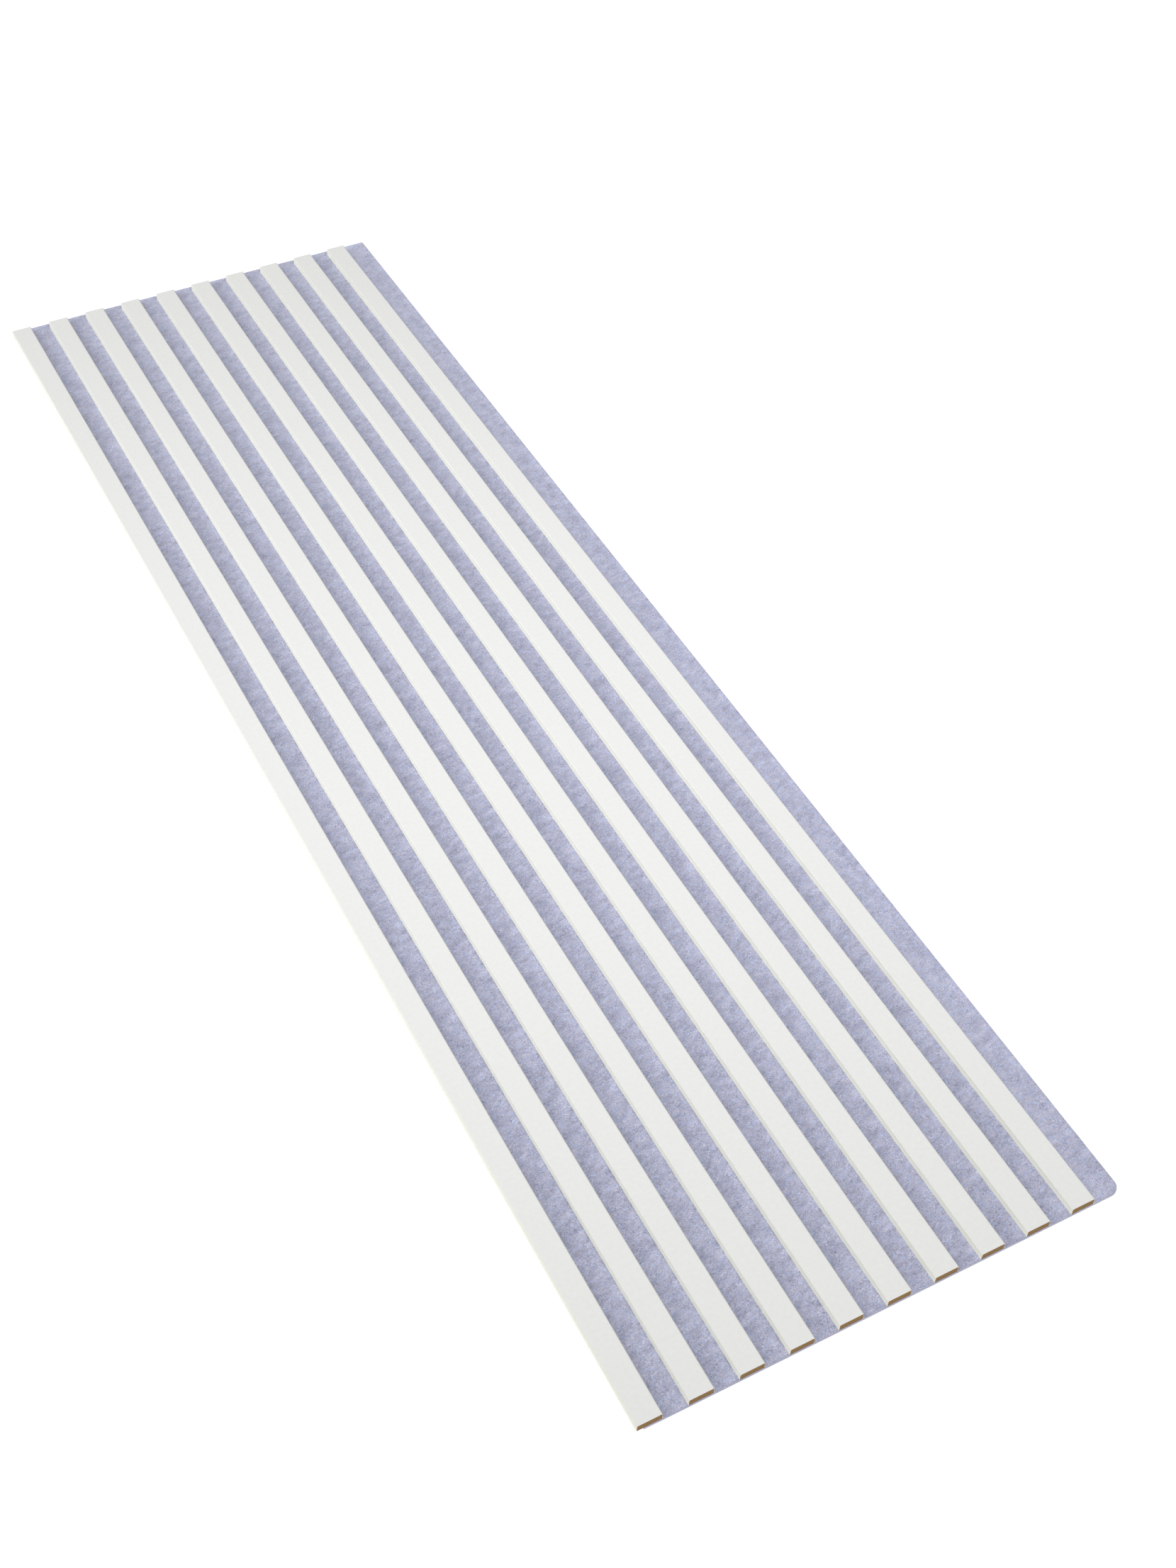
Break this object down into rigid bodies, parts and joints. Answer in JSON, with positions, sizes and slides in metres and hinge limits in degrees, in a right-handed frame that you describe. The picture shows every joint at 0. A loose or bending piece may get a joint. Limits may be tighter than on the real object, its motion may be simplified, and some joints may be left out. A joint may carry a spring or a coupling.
{
  "type": "acoustic slat panel",
  "caption": "Flat wall panel of parallel white laminate-wrapped slats with bare wood-fibre ends, glued at an even pitch to a sheet of grey felt that absorbs sound.",
  "frame": {"origin": "middle of the panel's outline, on the back of the felt, which it lies on", "axes": "+X across the slats towards the felt's projecting edge, +Y along the slats towards the end that the felt projects from, with square felt corners, +Z out of the slatted face"},
  "size_m": [0.71, 2.412, 0.018],
  "materials": {
    "felt": "needled polyester felt, mottled lavender grey, matt",
    "mdf": "bare sawn fibreboard ends, brown",
    "white_laminate": "plain off-white decor laminate, matt"
  },
  "bodies": {
    "root": {"felt_backing": "felt", "slat_core_01": "mdf", "slat_core_02": "mdf", "slat_core_03": "mdf", "slat_core_04": "mdf", "slat_core_05": "mdf", "slat_core_06": "mdf", "slat_core_07": "mdf", "slat_core_08": "mdf", "slat_core_09": "mdf", "slat_core_10": "mdf", "slat_wrap_01": "white_laminate", "slat_wrap_02": "white_laminate", "slat_wrap_03": "white_laminate", "slat_wrap_04": "white_laminate", "slat_wrap_05": "white_laminate", "slat_wrap_06": "white_laminate", "slat_wrap_07": "white_laminate", "slat_wrap_08": "white_laminate", "slat_wrap_09": "white_laminate", "slat_wrap_10": "white_laminate"}
  },
  "joints": []
}
